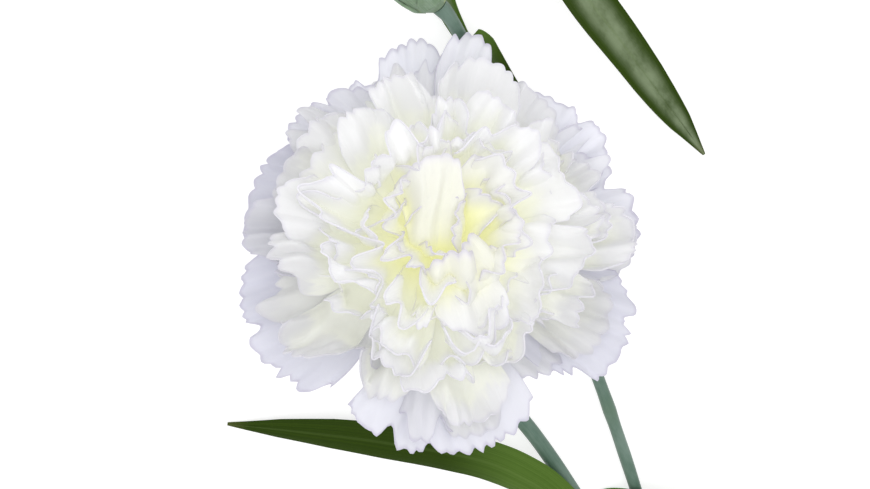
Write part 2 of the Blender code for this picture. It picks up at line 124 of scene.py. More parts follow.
# the innermost petals: direction (degrees), sideways shift, half width and length, then the tilt
# at marks along the midline, from the root outwards
HEART_PETALS = (
    (100, 0.0, 6.0, 29.5, ((0, 4), (10, 22), (20, 42), (30, 50))),
    (62, 0.0, 6.5, 28.5, ((0, 4), (10, 20), (20, 34), (30, 62))),
    (172, 0.0, 6.0, 27.5, ((0, 4), (10, 18), (20, 30), (30, 60))),
    (285, 1.5, 8.0, 31.5, ((0, 6), (10, 26), (20, 44), (31, 84))),
    (212, 0.0, 6.0, 29.0, ((0, 4), (10, 20), (20, 22), (30, 50))),
    (316, 0.0, 8.5, 33.0, ((0, 6), (10, 48), (20, 30), (27, -40), (33, -80))),
    (246, 0.0, 5.5, 28.0, ((0, 4), (12, 20), (22, 8), (30, -30))),
    (278, 0.5, 7.5, 30.0, ((0, 4), (10, 42), (20, 22), (26, -40), (30, -75))),
    (24, 0.0, 5.5, 27.0, ((0, 2), (10, 12), (18, 26), (28, 52))),
    (130, 0.0, 5.0, 26.0, ((0, 2), (10, 12), (20, 26), (28, 20))),
    (70, 1.0, 5.0, 25.5, ((0, 2), (10, 8), (20, 20), (28, 10))),
    (350, 0.0, 5.0, 27.0, ((0, 2), (10, 16), (18, 6), (28, -40))),
    (266, -3.2, 8.4, 38.0, ((0, 2), (12, 20), (18, -6), (25, -62), (38, -104))),
)
GOLDEN_ANGLE = 137.508
INNER_HALF_WIDTH = 8.4  # of an inner petal's margin, along it
FAN_ROOT = 0.14  # width of a petal's root, as a share of its margin's
HEART_BOW = 7.5  # petals bend round the axis in arcs no tighter than this
BLOOM_SEED = 11
TONE_SEED = 5
WHORLS = {"petals_guard": 0.25, "petals_middle": 0.60, "petals_heart": math.inf}  # up to which depth
TOOTH_SPACING = 2.7
TOOTH_DEPTH = 0.75
NOTCH_DEPTH = 4.4
CORNER_DROP = 0.15  # how much shorter a petal is at its corners than at its middle
CORNER_POWER = 3.2
ROW_POWER = 1.2  # crowds a petal's rows of cells towards its root
MIDLINE_STEPS = 50  # millimetres, which is longer than any petal
CANOPY_CELL = 2.5  # the bloom's top is read on a grid of this size
GUARD_GRID = (72, 22)  # cells across and along a petal
INNER_GRID = (50, 24)
WAVE = 6.5  # height of the waves that neighbouring petals share
WIDE_WAVE = 13
FINE_WAVE = 6.5
RUFFLE = (5.2, 15)  # size of a petal's own ruffles, along its margin and from root to margin
FINE_RUFFLE = (2.6, 11)
FINE_RUFFLE_SHARE = 0.95
WARP = 2.6  # how far the whole bloom is pushed out of true
WARP_LENGTH = 16
WARP_STARTS = ((27.5, 73.1, 3.9), (4.2, 56.4, 25.2), (48.1, 42.4, 30.9))  # of its three parts

# ---- leaves
LEAF_THICKNESS = 0.7
LEAF_EDGE = 0.4  # thickness at the edges, as a share of the middle's
LEAF_GRID = (20, 90)
MIDRIB_DEPTH = 0.16
STEM_ROOT = STEM_RADIUS * (1 + JOINT_SWELLING) + STEM_GAP + LEAF_THICKNESS / 2 + 0.1
SIDE_ROOT = SIDE_STEM_RADIUS * (1 + JOINT_SWELLING) + STEM_GAP + LEAF_THICKNESS / 2 + 0.1

# ---- stage
CAMERA_RISE = math.radians(60)
CAMERA_ROLL = math.radians(33.5)
CAMERA_DISTANCE = 500.0
CAMERA_LENS = 110.28
CAMERA_LEFT = 0.56  # of where it would look straight at the bloom's middle
CAMERA_UP = 1.03
BLOOM_MIDDLE = Vector((0, 0, 31))
KEY_BACK = 800  # from the bloom's middle towards the camera
KEY_DOWN = 60
KEY_RIGHT = 60
KEY_SIZE = 0.9  # metres
KEY_POWER = 4.3  # watts
FLOOR_SIZE = 6  # metres
ROOM_BRIGHTNESS = 0.80
FLOOR_GREY = (0.40, 0.40, 0.40, 1)
FLOOR_GLOW = 0.72
WHITE = (1, 1, 1, 1)

Petal = namedtuple("Petal", "depth direction shift half_arc length cup seed sharp midline")


def place(point):
    """Metres in the model's frame, from millimetres in the drawing frame."""
    return (Vector(point) - FOOTPRINT_MIDDLE) * MM


def smoothstep(low, high, value):
    """0 below low, 1 above high, easing in and out in between."""
    t = min(max((value - low) / (high - low), 0.0), 1.0)
    return t * t * (3 - 2 * t)


def blend(a, b, part):
    """What lies part of the way from a to b."""
    return a + (b - a) * part


# ---------------------------------------------------------------- modelling


def deselect():
    """Select nothing."""
    bpy.ops.object.select_all(action="DESELECT")


def only(piece):
    """Select this piece alone and make it the active one."""
    deselect()
    piece.select_set(True)
    bpy.context.view_layer.objects.active = piece


def copy_of(piece, name):
    """Another object with a mesh of its own."""
    twin = piece.copy()
    twin.data = piece.data.copy()
    twin.name = twin.data.name = name
    bpy.context.scene.collection.objects.link(twin)
    return twin


def start_edit(piece):
    """Clear the selection within the piece, so that its edges or faces can be selected in code."""
    only(piece)
    bpy.ops.object.mode_set(mode="EDIT")
    bpy.context.tool_settings.mesh_select_mode = (False, True, False)
    bpy.ops.mesh.select_all(action="DESELECT")
    bpy.ops.object.mode_set(mode="OBJECT")


def blank_sheet(name, across, along):
    """A flat sheet, 2 by 2, cut into that many cells."""
    deselect()
    bpy.ops.mesh.primitive_grid_add(x_subdivisions=across, y_subdivisions=along, size=2)
    sheet = bpy.context.object
    sheet.name = sheet.data.name = name
    return sheet


def blank_rod(name, sides, rings):
    """A closed rod of radius 1 from z = 0 to z = 1, cut across into that many rings."""
    deselect()
    bpy.ops.mesh.primitive_cylinder_add(vertices=sides, radius=1, depth=1, location=(0, 0, 0.5),
                                        end_fill_type="TRIFAN")
    rod = bpy.context.object
    rod.name = rod.data.name = name
    bpy.ops.object.transform_apply(location=True)
    start_edit(rod)
    for edge in rod.data.edges:
        low, high = (rod.data.vertices[i].co.z for i in edge.vertices)
        edge.select = abs(low - high) > 0.5
    bpy.ops.object.mode_set(mode="EDIT")
    bpy.ops.mesh.subdivide(number_cuts=rings - 1)
    bpy.ops.object.mode_set(mode="OBJECT")
    return rod


def reshape(piece, shape):
    """Move each corner of a blank to where shape(x, y, z) says, in drawing millimetres."""
    for vert in piece.data.vertices:
        vert.co = place(shape(*vert.co))
    piece.data.update()


def note(piece, name, values):
    """Keep one number for each corner, for the piece's finish to read."""
    layer = piece.data.attributes.new(name, "FLOAT", "POINT")
    layer.data.foreach_set("value", values)


def note_evenly(piece, **values):
    """Keep numbers that are the same at every corner, each under its name."""
    for name, value in values.items():
        note(piece, name, [value] * len(piece.data.vertices))


def finish_modifiers(piece):
    """Apply all of the piece's modifiers."""
    only(piece)
    for modifier in list(piece.modifiers):
        bpy.ops.object.modifier_apply(modifier=modifier.name)


def thicken(piece, thickness, offset=0.0, group=None, thin=1.0):
    """Give a sheet its thickness; group holds how much of it each corner gets, down to thin."""
    solid = piece.modifiers.new("thickness", "SOLIDIFY")
    solid.thickness = thickness * MM
    solid.offset = offset
    if group:
        solid.vertex_group = group
        solid.thickness_vertex_group = thin
    finish_modifiers(piece)


def smooth(piece, angle=50):
    """Shade smoothly across edges that turn by less than the angle, in degrees."""
    only(piece)
    bpy.ops.object.shade_smooth_by_angle(angle=math.radians(angle))


def join(name, parts):
    """One piece from several."""
    deselect()
    for part in parts:
        part.select_set(True)
    bpy.context.view_layer.objects.active = parts[0]
    bpy.ops.object.join()
    piece = bpy.context.object
    piece.name = piece.data.name = name
    return piece


def dress(piece, slot, finish, *nodes):
    """Give a finished piece its material, hang it under the root body and hide the imported parts it stands
    for.
    """
    piece.data.materials.clear()
    piece.data.materials.append(finish)
    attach(piece, "root")
    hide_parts(*nodes)


# ---------------------------------------------------------------- finishes


class Value:
    """A shader socket on which Python's arithmetic adds Math nodes."""

    def __init__(self, finish, socket):
        self.finish, self.socket = finish, socket

    def math(self, operation, *others):
        """Another Math node, with this value on its first socket."""
        sockets = dict(enumerate((self, *others)))
        return self.finish.node("ShaderNodeMath", {"operation": operation}, sockets)

    def __add__(self, other):
        return self.math("ADD", other)

    def __sub__(self, other):
        return self.math("SUBTRACT", other)

    def __rsub__(self, other):
        return self.finish.node("ShaderNodeMath", {"operation": "SUBTRACT"}, {0: other, 1: self})

    def __mul__(self, other):
        return self.math("MULTIPLY", other)

    __radd__ = __add__
    __rmul__ = __mul__


class Finish:
    """A material, and the one way in which its nodes are made."""

    def __init__(self, name):
        self.material = bpy.data.materials.new(name)
        self.material.use_nodes = True
        self.tree = self.material.node_tree
        self.tree.nodes.clear()

    def node(self, kind, settings, sockets, output=0):
        """Add a node, set it up, feed its sockets and return one of its outputs."""
        node = self.tree.nodes.new(kind)
        for name, setting in settings.items():
            setattr(node, name, setting)
        for name, value in sockets.items():
            if isinstance(value, Value):
                self.tree.links.new(value.socket, node.inputs[name])
            else:
                node.inputs[name].default_value = value
        return Value(self, node.outputs[output]) if node.outputs else node

    def attribute(self, name):
        """What note() kept under that name."""
        return self.node("ShaderNodeAttribute", {"attribute_name": name}, {}, "Fac")

    def uv(self, across, along):
        """The piece's own UV map, scaled across and along."""
        where = self.node("ShaderNodeUVMap", {"uv_map": "UVMap"}, {})
        return self.node("ShaderNodeMapping", {}, {"Vector": where, "Scale": (across, along, 1)})

    def position(self, scale=(1, 1, 1)):
        """Object coordinates in metres, stretched by scale."""
        where = self.node("ShaderNodeTexCoord", {}, {}, "Object")
        return self.node("ShaderNodeMapping", {}, {"Vector": where, "Scale": scale})

    def noise(self, where, scale, detail=2.0, roughness=0.5):
        """A cloudy pattern, from 0 to 1."""
        return self.node("ShaderNodeTexNoise", {},
                         {"Vector": where, "Scale": scale, "Detail": detail, "Roughness": roughness})

    def between(self, low, high, value):
        """0 below low, 1 above high, smooth in between."""
        return self.node("ShaderNodeMapRange", {"interpolation_type": "SMOOTHSTEP"},
                         {"Value": value, "From Min": low, "From Max": high,
                          "To Min": 0.0, "To Max": 1.0})

    def mix(self, part, first, second):
        """A colour, part of the way from the first to the second."""
        first, second = (c if isinstance(c, Value) else (*c, 1) for c in (first, second))
        return self.node("ShaderNodeMix", {"data_type": "RGBA"}, {0: part, 6: first, 7: second}, 2)

    def bump(self, height, distance, strength):
        """A normal that rises and falls with height, over that distance in metres."""
        return self.node("ShaderNodeBump", {},
                         {"Height": height, "Distance": distance, "Strength": strength})

    def skin(self, colour, roughness, normal, specular, sheen=0.0, glow=(0, 0, 0, 1),
             glow_strength=0.0):
        """A Principled surface. glow is painted light: an emission standing in for light a thin skin
        spreads.
        """
        return self.node("ShaderNodeBsdfPrincipled", {},
                         {"Base Color": colour, "Roughness": roughness, "Normal": normal,
                          "Specular IOR Level": specular, "Sheen Weight": sheen,
                          "Emission Color": glow, "Emission Strength": glow_strength})

    def see_through(self, skin, colour, part, normal):
        """Let part of the light through a thin skin."""
        glow = self.node("ShaderNodeBsdfTranslucent", {}, {"Color": colour, "Normal": normal})
        return self.node("ShaderNodeMixShader", {}, {0: part, 1: skin, 2: glow})

    def done(self, surface):
        """The material, with that surface as its output."""
        self.node("ShaderNodeOutputMaterial", {}, {"Surface": surface})
        return self.material


def petal_finish():
    """White petals: bluish at the guard petals and duller there under painted shade, cream towards the
    heart, with painted shade lines along the margins and painted light deep down, yellow in the heart,
    where the light that the thin skins pass on gathers; an emission adds more painted light."""
    f = Finish("petal_skin")
    depth, reach, tone = f.attribute("depth"), f.attribute("reach"), f.attribute("tone")
    below, away, edge = f.attribute("below"), f.attribute("away"), f.attribute("edge")
    shade = f.attribute("shade")
    streaks = f.noise(f.uv(38, 1.3), 1.0, 3.0, 0.6)
    clouds = f.noise(f.position(), 90.0, 2.0)
    heart = 1 - f.between(7.0, 19.0, away + 3.0 * tone)
    # painted shade: the guard petals, and inner petals near them, turn grey-lavender by direction, standing
    # in for the shade that falls on them
    outer = f.mix(shade, (0.87, 0.87, 0.91), (0.58, 0.58, 0.66))
    inner = f.mix(shade, (0.818, 0.818, 0.823), (0.62, 0.62, 0.62))
    white = f.mix(f.between(0.0, 0.22, depth), outer, inner)
    cream = f.mix(heart * 0.9, white, (0.81, 0.81, 0.745))
    # painted light: corners lying deep below the bloom's top turn lighter, cream outside the heart and
    # yellow in it, standing in for light the thin petals pass on and gather there
    hollow = f.between(1.5, 8.0, below + 2.0 * (tone - 0.5))
    deep = f.mix(heart, (0.85, 0.855, 0.80), (0.89, 0.89, 0.68))
    body = f.mix(hollow * f.between(0.1, 0.3, depth), cream, deep)
    # painted shade: darker lavender lines along the margins and rims, strongest in the heart and on the
    # guard petals, stand in for the shade at the petals' edges
    body = f.mix(f.between(0.95, 0.99, reach) * (0.04 + 0.30 * heart), body, (0.74, 0.70, 0.84))
    rim = 0.35 + 0.25 * heart + 0.45 * (1 - f.between(0.05, 0.2, depth))
    body = f.mix(f.between(0.5, 1.0, edge) * rim, body, (0.60, 0.58, 0.67))
    body = f.mix(f.between(0.35, 0.75, streaks) * 0.14, body, (0.78, 0.79, 0.78))
    colour = f.mix(f.between(0.4, 0.75, clouds) * 0.10, body, (0.80, 0.80, 0.80))
    normal = f.bump(streaks, 0.00016, 0.5)
    # painted light: an emission in the petals' own colour, weaker and bluish on the guard petals, lifts the
    # shade between petals like light spread through them
    glow = f.mix(f.between(0.05, 0.5, depth), (0.36, 0.36, 0.40), colour)
    skin = f.skin(colour, 0.62, normal, 0.25, 0.12, glow, 0.285)
    return f.done(f.see_through(skin, colour, 0.45, normal))


def stem_finish():
    """Green under a grey-blue wax that is rubbed thin in places; joints are yellower."""
    f = Finish("stem_skin")
    joint, cut = f.attribute("joint"), f.attribute("cut")
    wax = f.noise(f.position((0.35, 1, 1)), 260.0, 4.0, 0.6)
    fibres = f.noise(f.uv(30, 3), 1.0, 3.0)
    green = f.mix(f.between(0.3, 0.7, fibres), (0.075, 0.140, 0.101), (0.098, 0.171, 0.126))
    waxed = f.mix(f.between(0.35, 0.7, wax) * 0.55, green, (0.20, 0.275, 0.235))
    knotted = f.mix(joint * 0.45, waxed, (0.20, 0.27, 0.15))
    colour = f.mix(f.between(0.12, 0.3, cut), knotted, (0.52, 0.57, 0.34))
    normal = f.bump(fibres * 0.6 + wax * 0.4, 0.00008, 0.6)
    return f.done(f.skin(colour, 0.42 + 0.2 * wax, normal, 0.4))


def calyx_finish():
    """Waxy green, ribbed lengthwise, paler at the teeth and at the foot."""
    f = Finish("calyx_skin")
    reach = f.attribute("reach")
    ribs = f.noise(f.uv(70, 1.2), 1.0, 2.0)
    wax = f.noise(f.position(), 330.0, 3.0)
    green = f.mix(f.between(0.35, 0.65, ribs), (0.14, 0.22, 0.13), (0.21, 0.30, 0.19))
    waxed = f.mix(f.between(0.4, 0.75, wax) * 0.4, green, (0.30, 0.38, 0.31))
    foot = f.mix(f.between(0.0, 0.22, reach), (0.28, 0.36, 0.14), waxed)
    colour = f.mix(f.between(0.93, 1.0, reach) * 0.5, foot, (0.40, 0.42, 0.26))
    normal = f.bump(ribs, 0.0002, 0.5)
    return f.done(f.skin(colour, 0.5, normal, 0.35))


def leaf_finish():
    """Deep green with fine parallel veins, fresher towards the root and darker towards the tip, in patches,
    a pale midrib, and a broad grey band down the middle: partly wax that hasn't been rubbed off, partly
    painted sheen."""
    f = Finish("leaf_skin")
    across, reach, wax = f.attribute("across"), f.attribute("reach"), f.attribute("wax")
    veins = f.noise(f.uv(46, 1.5), 1.0, 2.0)
    mottle = f.noise(f.position((0.6, 1, 1)), 160.0, 4.0, 0.6)
    patches = f.noise(f.position(), 28.0, 1.0)
    dark = f.mix(f.between(0.3, 0.7, veins), (0.020, 0.044, 0.001), (0.032, 0.064, 0.002))
    fresh = f.mix(f.between(0.3, 0.7, veins), (0.068, 0.136, 0.016), (0.096, 0.176, 0.028))
    # darker towards the tip, the border shifted in patches
    darker_to_tip = f.between(0.42, 0.68, reach + 0.5 * (patches - 0.5))
    green = f.mix(darker_to_tip, fresh, dark)
    # partly painted sheen: a broad pale grey band down the leaf's middle, scaled by wax, stands for both the
    # wax and the light the middle catches
    band = f.between(-0.9, -0.2, across) * (1 - f.between(0.2, 0.85, across))
    pale = f.mix(band * f.between(0.2, 0.6, mottle) * (0.90 * wax), green, (0.23, 0.29, 0.17))
    rib = f.between(0.0, 0.05, 0.09 - across.math("ABSOLUTE"))
    ribbed = f.mix(rib * 0.12, pale, (0.16, 0.24, 0.07))
    colour = f.mix(f.between(0.95, 1.0, reach) * 0.35, ribbed, (0.15, 0.15, 0.05))
    normal = f.bump(veins, 0.00018, 0.5)
    skin = f.skin(colour, 0.50 + 0.15 * mottle, normal, 0.10)
    return f.done(f.see_through(skin, colour, 0.12, normal))


# ---------------------------------------------------------------- petals


def turn_to(axis):
    """A turn whose columns are the direction that counts as 0 degrees about the axis, the direction
    a quarter turn further round, and the axis."""
    zero = (BLOOM_ZERO - BLOOM_ZERO.dot(axis) * axis).normalized()
    return Matrix((zero, axis.cross(zero), axis)).transposed()


def outer_tilts(k, lean, curl):
    """How far a petal of depth k, from 0 for a guard petal to 1 for the heart, tilts from the axis
    at each millimetre. lean and curl (degrees) tip it and roll its margin."""
    tilt_end = blend(GUARD_TILT, HEART_TILT, k) + lean
    bend = 8.5 + 4.0 * k
    return [blend(6, tilt_end, smoothstep(0, bend, step)) + 10 * (1 - k) * smoothstep(bend, 45, step)
            + curl * smoothstep(12, 34, step) for step in range(MIDLINE_STEPS)]


def heart_tilts(marks):
    """The same, for a petal whose tilt is given at marks along it."""
    tilts = []
    for step in range(MIDLINE_STEPS):
        tilt = marks[-1][1]
        for (start, first), (end, second) in reversed(list(zip(marks, marks[1:]))):
            if step <= end:
                tilt = blend(first, second, smoothstep(start, end, step))
        tilts.append(tilt)
    return tilts


def midline(k, tilts):
    """(radius, height, tilt) of a petal millimetre by millimetre."""
    radius, height = 5.0 * (1 - k) + 0.4, 0.9
    rows = []
    for tilt in map(math.radians, tilts):
        rows.append((radius, height, tilt))
        radius += math.sin(tilt)
        height += math.cos(tilt)
    return rows


def teeth(arc, seed, sharp):
    """How far the margin stands out at arc millimetres along it: round scallops or sharp teeth."""
    arc += 2.4 * noise.noise(Vector((arc / 4.6, seed, 5.5)))
    phase = (arc / TOOTH_SPACING) % 1.0
    scallop = math.sin(math.pi * phase) ** 0.7 - 0.6
    point = 1 - 2 * abs(phase - 0.5) * 2
    depth = TOOTH_DEPTH + 0.6 * noise.noise(Vector((arc / 5.0, seed, 2.5)))
    return depth * blend(scallop, point, sharp)


def notches(arc, seed):
    """Deeper cuts into the margin, a few on each petal."""
    wave = noise.noise(Vector((arc / 4.8, seed, 8.5)))
    return NOTCH_DEPTH * smoothstep(0.14, 0.50, wave)


def shared_wave(x, y, k):
    """The waves that neighbouring layers share, so that they nest."""
    wide = noise.noise(Vector((x / WIDE_WAVE, y / WIDE_WAVE, 1.3 * k + 4)))
    fine = noise.noise(Vector((x / FINE_WAVE, y / FINE_WAVE, 2.4 * k + 9)))
    return wide + 0.6 * fine


def drift(point):
    """A slowly varying push that is the same on every run."""
    return Vector([noise.noise(point + Vector(start)) for start in WARP_STARTS])


def petal_shape(petal, turn):
    """Shape function of one petal: a fan that spreads on both sides of its midline."""
    k, rows = petal.depth, petal.midline
    outward = Vector((math.cos(petal.direction), math.sin(petal.direction), 0))
    sideways = Vector((-outward.y, outward.x, 0))
    calm = 1 - 0.5 * smoothstep(0.68, 0.88, k)
    wave_height = WAVE * (0.35 + 0.65 * smoothstep(0, 0.3, k)) * calm
    frill = 2.2 + 2.4 * smoothstep(0.08, 0.2, k) - 2.5 * smoothstep(0.65, 0.88, k)

    def ruffle(arc, s, sizes, seed):
        return noise.noise(Vector((arc / sizes[0], s / sizes[1], seed)))

    # u runs across the petal from -1 to 1, v along it from 0 to 1; arc and s are millimetres
    def shape(u, y, _):
        v = (y + 1) / 2
        arc = u * petal.half_arc
        full = petal.length * (1 - CORNER_DROP * abs(u) ** CORNER_POWER)
        s = v ** ROW_POWER * (full - notches(arc, petal.seed) * smoothstep(0.5, 1, v))
        s += teeth(arc, petal.seed, petal.sharp) * smoothstep(0.88, 1.0, v)
        i = min(int(s), len(rows) - 2)
        radius, height, tilt = (blend(a, b, s - i) for a, b in zip(rows[i], rows[i + 1]))
        bow = math.hypot(radius, HEART_BOW)
        turned = arc * (FAN_ROOT + (1 - FAN_ROOT) * s / petal.length) / bow
        angle = petal.direction + turned
        grow = smoothstep(0.3, 1.0, s / petal.length)
        lift = wave_height * grow * shared_wave(s * math.cos(angle), s * math.sin(angle), k)
        lift += frill * grow ** 2 * ruffle(arc, s, RUFFLE, petal.seed)
        lift += FINE_RUFFLE_SHARE * frill * grow ** 2 * ruffle(arc, s, FINE_RUFFLE, petal.seed + 31)
        lift += petal.cup * grow * u * u
        inner = UP * math.sin(tilt) - outward * math.cos(tilt)
        bend = inner if tilt < 0 else -outward
        local = outward * radius + sideways * petal.shift * s / petal.length + UP * height
        local += sideways * (bow * math.sin(turned)) + bend * (bow * (1 - math.cos(turned)))
        local += (inner + (sideways * -math.sin(turned) * math.cos(tilt))) * lift
        push = drift(local / WARP_LENGTH) * WARP * smoothstep(8, 26, s)
        return MOUTH + turn @ (local + push)

    return shape


def degrees_apart(direction, middle):
    """How far a direction is from the middle one, in degrees and the short way round."""
    return (direction - middle + 180) % 360 - 180


def guard_petals(draw, total):
    """The broad petals round the outside."""
    for i, which in enumerate(GUARD_ORDER):
        direction, half_width, length, sharp, _ = GUARD_PETALS[which]
        k = 0.8 * i / total
        yield Petal(k, math.radians(direction), 0.0, math.radians(half_width) * (length - GUARD_RISE),
                    length, draw.uniform(-1, 1), 10.0 * i + 0.7, sharp,
                    midline(k, outer_tilts(k, draw.uniform(-2, 2), 0.0)))


def inner_petals(draw, total):
    """The many ruffled petals inside them, each a golden angle on from the one before."""
    for i in range(INNER_PETALS):
        k = INNER_DEPTH * (len(GUARD_ORDER) + i) / (total - 1)
        direction = FIRST_INNER_DIRECTION + GOLDEN_ANGLE * i + draw.uniform(-9, 9)
        length = blend(GUARD_LENGTH, HEART_LENGTH, k) - 2
        length += draw.uniform(-3.5, 1.5) * smoothstep(0.1, 0.3, k)
        for parting in PARTINGS:
            near = math.exp(-(degrees_apart(direction, parting) / PARTING_WIDTH) ** 2)
            length -= PARTING_CUT * near * (1 - smoothstep(*PARTING_FADE, k))
        half_arc = INNER_HALF_WIDTH * draw.uniform(0.75, 1.15) * blend(1.05, 0.8, k)
        cup, sharp = draw.uniform(-4.5, 4.5), draw.uniform(0, 0.6)
        curl = draw.uniform(-35, 12) * smoothstep(0.2, 0.6, k)
        curl -= draw.uniform(0, 30) * smoothstep(0.6, 0.8, k)
        yield Petal(k, math.radians(direction), 0.0, half_arc, length, cup, 10.0 * i + 200.7, sharp,
                    midline(k, outer_tilts(k, draw.uniform(-10, 10), curl)))


def heart_petals():
    """The furled petals in the middle, each with a line of its own."""
    for i, (direction, shift, half_arc, length, marks) in enumerate(HEART_PETALS):
        k = blend(HEART_DEPTH, 1.0, i / (len(HEART_PETALS) - 1))
        yield Petal(k, math.radians(direction), shift, half_arc, length, 0.0, 10.0 * i + 900.7, 0.2,
                    midline(k, heart_tilts(marks)))


def shade_near(direction):
    """The painted shade of the guard petals in a direction (radians)."""
    total = weights = 0.0
    for middle, *_, shade in GUARD_PETALS:
        weight = math.exp(-(degrees_apart(math.degrees(direction), middle) / SHADE_PAINT_WIDTH) ** 2)
        total += weight * shade
        weights += weight
    return total / weights


def canopy(pieces, turn):
    """How far each corner of each petal lies below the bloom's own top, in millimetres, and how
    far it is from the axis."""
    def cell(point):
        return round(point.x / CANOPY_CELL), round(point.y / CANOPY_CELL)

    places = []
    top = {}
    for piece in pieces:
        local = [turn.transposed() @ (vert.co / MM + FOOTPRINT_MIDDLE - MOUTH)
                 for vert in piece.data.vertices]
        places.append(local)
        for point in local:
            top[cell(point)] = max(top.get(cell(point), 0.0), point.z)
    for local in places:
        below, away = [], []
        for point in local:
            x, y = cell(point)
            near = [top[x + i, y + j] for i in (-1, 0, 1) for j in (-1, 0, 1) if (x + i, y + j) in top]
            below.append(sum(near) / len(near) - point.z)
            away.append(math.hypot(point.x, point.y))
        yield below, away


def build_petal(blank, petal, turn, tone):
    """One petal, still a sheet without thickness."""
    piece = copy_of(blank, "petal")
    flat = [tuple(vert.co) for vert in piece.data.vertices]
    reshape(piece, petal_shape(petal, turn))
    note(piece, "reach", [((y + 1) / 2) ** ROW_POWER for _, y, _ in flat])
    note(piece, "edge", [float(max(abs(x), y) > 0.9999) for x, y, _ in flat])
    # painted shade: each petal takes the guard petals' shade in its direction, fading out with depth
    shade = shade_near(petal.direction) * (1 - smoothstep(*SHADE_PAINT_FADE, petal.depth))
    note_evenly(piece, depth=petal.depth, shade=shade, tone=tone)
    return piece


def build_bloom(finish):
    """Three whorls of toothed petals: guard, middle and heart."""
    turn = turn_to(BLOOM_AXIS)
    draw, tones = random.Random(BLOOM_SEED), random.Random(TONE_SEED)
    total = len(GUARD_PETALS) + INNER_PETALS
    guard_blank, inner_blank = (blank_sheet("petal_blank", *grid) for grid in (GUARD_GRID, INNER_GRID))
    guards = list(guard_petals(draw, total))
    inners = [*inner_petals(draw, total), *heart_petals()]
    pieces = [build_petal(guard_blank, petal, turn, tones.random()) for petal in guards]
    pieces += [build_petal(inner_blank, petal, turn, tones.random()) for petal in inners]
    whorls = {name: [] for name in WHORLS}
    for piece, petal, (below, away) in zip(pieces, guards + inners, canopy(pieces, turn)):
        note(piece, "below", below)
        note(piece, "away", away)
        thicken(piece, PETAL_THICKNESS)
        whorl = next(name for name, limit in WHORLS.items() if petal.depth < limit)
        whorls[whorl].append(piece)
    for blank in (guard_blank, inner_blank):
        bpy.data.objects.remove(blank, do_unlink=True)
    for name, petals in whorls.items():
        piece = join(name, petals)
        smooth(piece)
        dress(piece, "petal_white", finish, "bloom")


# ---------------------------------------------------------------- stems


def smooth_path(points, spans=12):
    """Points along the smooth curve that passes through all the given ones."""
    pts = [Vector(p) for p in points]
    pts = [2 * pts[0] - pts[1]] + pts + [2 * pts[-1] - pts[-2]]
    path = []
    for a, b, c, d in zip(pts, pts[1:], pts[2:], pts[3:]):
        for i in range(spans):
            t = i / spans
            path.append(0.5 * (2 * b + (c - a) * t + (2 * a - 5 * b + 4 * c - d) * t * t
                               + (3 * b - a - 3 * c + d) * t ** 3))
    path.append(pts[-2].copy())
    return path


def neck_path(steps):
    """The round bend from the lying stem up to the foot of the calyx."""
    end = CALYX_BASE - BLOOM_AXIS * STEM_GAP
    level = Vector((BLOOM_AXIS.x, BLOOM_AXIS.y, 0)).normalized()
    rise = math.asin(BLOOM_AXIS.z)

    def on_bend(angle):
        return level * NECK_RADIUS * math.sin(angle) - UP * NECK_RADIUS * math.cos(angle)

    return [end + on_bend(rise * i / steps) - on_bend(rise) for i in range(steps + 1)]


class Route:
    """A path measured along its length, with a steady frame that doesn't twist."""

    def __init__(self, points):
        self.points = points
        self.marks = [0.0]
        for a, b in zip(points, points[1:]):
            self.marks.append(self.marks[-1] + (b - a).length)
        self.length = self.marks[-1]
        self.sides = []
        side = UP.cross(points[1] - points[0]).normalized()
        for i in range(len(points)):
            along = self.along(i)
            side = (side - side.dot(along) * along).normalized()
            self.sides.append(side)

    def along(self, i):
        """The path's direction at its point i."""
        return (self.points[min(i + 1, len(self.points) - 1)] - self.points[max(i - 1, 0)]).normalized()

    def at(self, distance):
        """Middle, side and third direction at that distance along the path."""
        i = 0
        while i < len(self.marks) - 2 and self.marks[i + 1] < distance:
            i += 1
        part = (distance - self.marks[i]) / (self.marks[i + 1] - self.marks[i])
        middle = blend(self.points[i], self.points[i + 1], part)
        side = blend(self.sides[i], self.sides[i + 1], part).normalized()
        along = blend(self.along(i), self.along(i + 1), part).normalized()
        return middle, side, along.cross(side)


def near_joints(x, joints, length):
    """How close x is to each joint, from 0 to the joint's strength at its middle."""
    return [strength * math.exp(-((x - joint) / length) ** 2) for joint, strength in joints.items()]


def swelling(x, joints):
    """How many times thicker a stem is at x than between its leaf joints, with a fine groove
    round the middle of each joint."""
    groove = sum(math.exp(-((x - joint - GROOVE_SHIFT) / GROOVE_WIDTH) ** 2) for joint in joints)
    return 1 + JOINT_SWELLING * sum(near_joints(x, joints, JOINT_LENGTH)) - GROOVE_DEPTH * groove


def build_one_stem(name, path, radius, joints, flare):
    """A round stem along the path, swollen at its joints and where it meets what it carries."""
    route = Route(path)
    rod = blank_rod(name, STEM_SIDES, int(route.length / STEM_RING))
    jointed, cut = [], []
    for vert in rod.data.vertices:
        x, y, z = vert.co
        middle, side, third = route.at(z * route.length)
        size = radius * swelling(middle.x, joints)
        size *= 1 + flare * smoothstep(route.length - FLARE_LENGTH, route.length, z * route.length)
        size += 0.07 * noise.noise(middle / 9) + 0.03 * math.cos(5 * math.atan2(y, x) + middle.x / 20)
        vert.co = place(middle + (side * x + third * y) * size)
        jointed.append(max(near_joints(middle.x, joints, JOINT_TINT_LENGTH)))
        cut.append(1 - math.hypot(x, y) if z < 1e-6 else 0.0)
    note(rod, "joint", jointed)
    note(rod, "cut", cut)
    return rod


